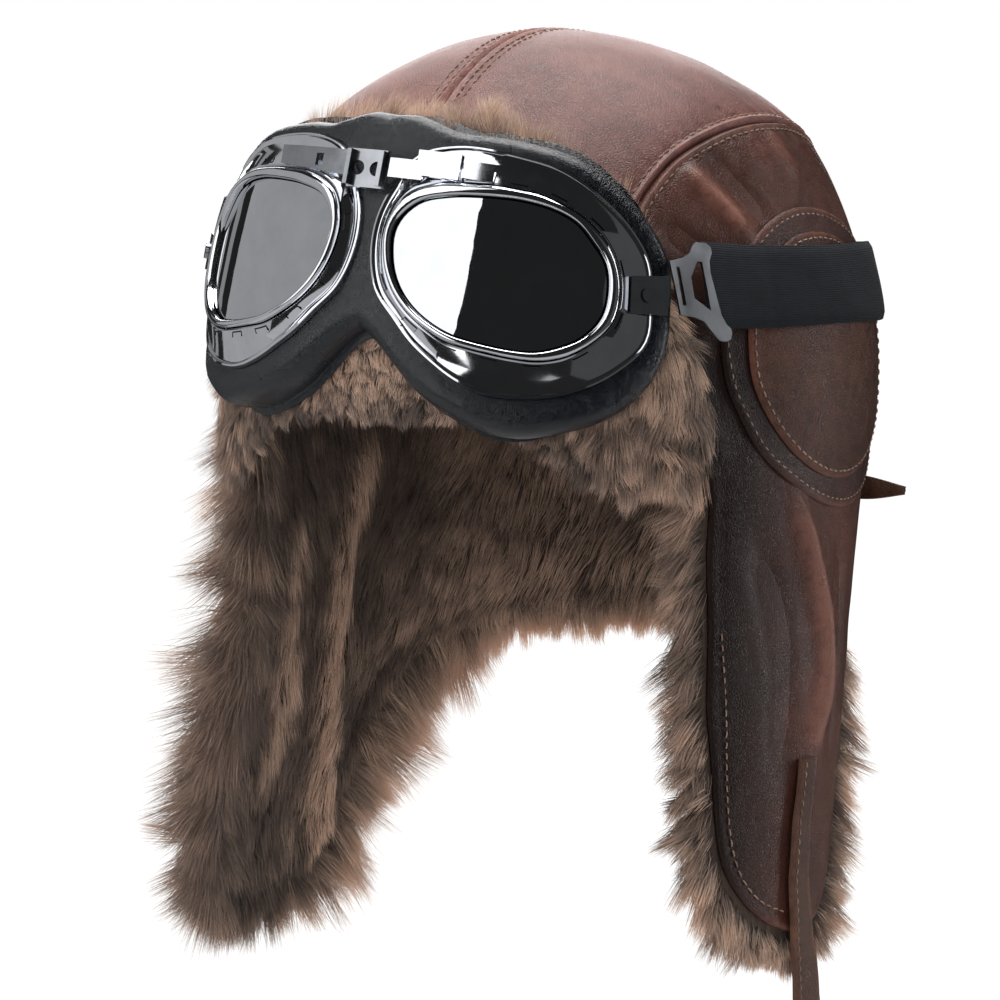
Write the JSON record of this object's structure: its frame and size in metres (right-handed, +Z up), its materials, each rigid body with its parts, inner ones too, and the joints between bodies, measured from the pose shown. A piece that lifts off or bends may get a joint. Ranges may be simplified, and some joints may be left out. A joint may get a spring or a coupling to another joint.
{
  "type": "aviator hat with goggles",
  "caption": "Fur-lined leather aviator hat with ear flaps, turned-up brow flap and a hanging chin strap, with padded mirror goggles strapped round it.",
  "frame": {"origin": "middle of the head opening at brow height, where the hat sits on a head", "axes": "+Z up through the crown, -Y the way the face looks, +X to the wearer's left"},
  "size_m": [0.2246, 0.2484, 0.324],
  "materials": {
    "crown_leather": "worn reddish brown leather",
    "side_leather": "dark reddish brown leather with a fine grain",
    "patch_leather": "reddish brown leather",
    "pad_leather": "puffed reddish brown leather with a tan highlight",
    "strap_leather": "thin brown leather, two layers stitched",
    "fur": "long plush fur, dark roots and tan tips",
    "goggle_padding": "black padded facing, soft gloss",
    "chrome": "polished chrome",
    "steel": "satin grey steel",
    "lens_mirror": "smoked mirror lens",
    "elastic": "woven navy black elastic"
  },
  "bodies": {
    "root": {"crown_top_left": "crown_leather", "crown_top_right": "crown_leather", "side_panel_left": "side_leather", "side_panel_right": "side_leather", "back_panel": "side_leather", "ear_patch_left": "patch_leather", "ear_patch_right": "patch_leather", "ear_pad_left": "pad_leather", "ear_pad_right": "pad_leather", "fur_lining": "fur", "brow_flap": "fur", "goggle_pad": "goggle_padding", "frame_plate_left": "chrome", "frame_plate_right": "chrome", "lens_ring_left": "chrome", "lens_ring_right": "chrome", "lens_left": "lens_mirror", "lens_right": "lens_mirror", "bridge_arm_right": "steel", "bridge_adjuster": "steel", "bridge_arm_left": "chrome", "bridge_plate": "chrome", "lug_left": "steel", "lug_right": "steel", "rivet_left": "steel", "rivet_right": "steel", "goggle_strap": "elastic", "buckle_left": "steel", "buckle_right": "steel", "chin_strap": "strap_leather", "nape_tab": "strap_leather"}
  },
  "joints": []
}
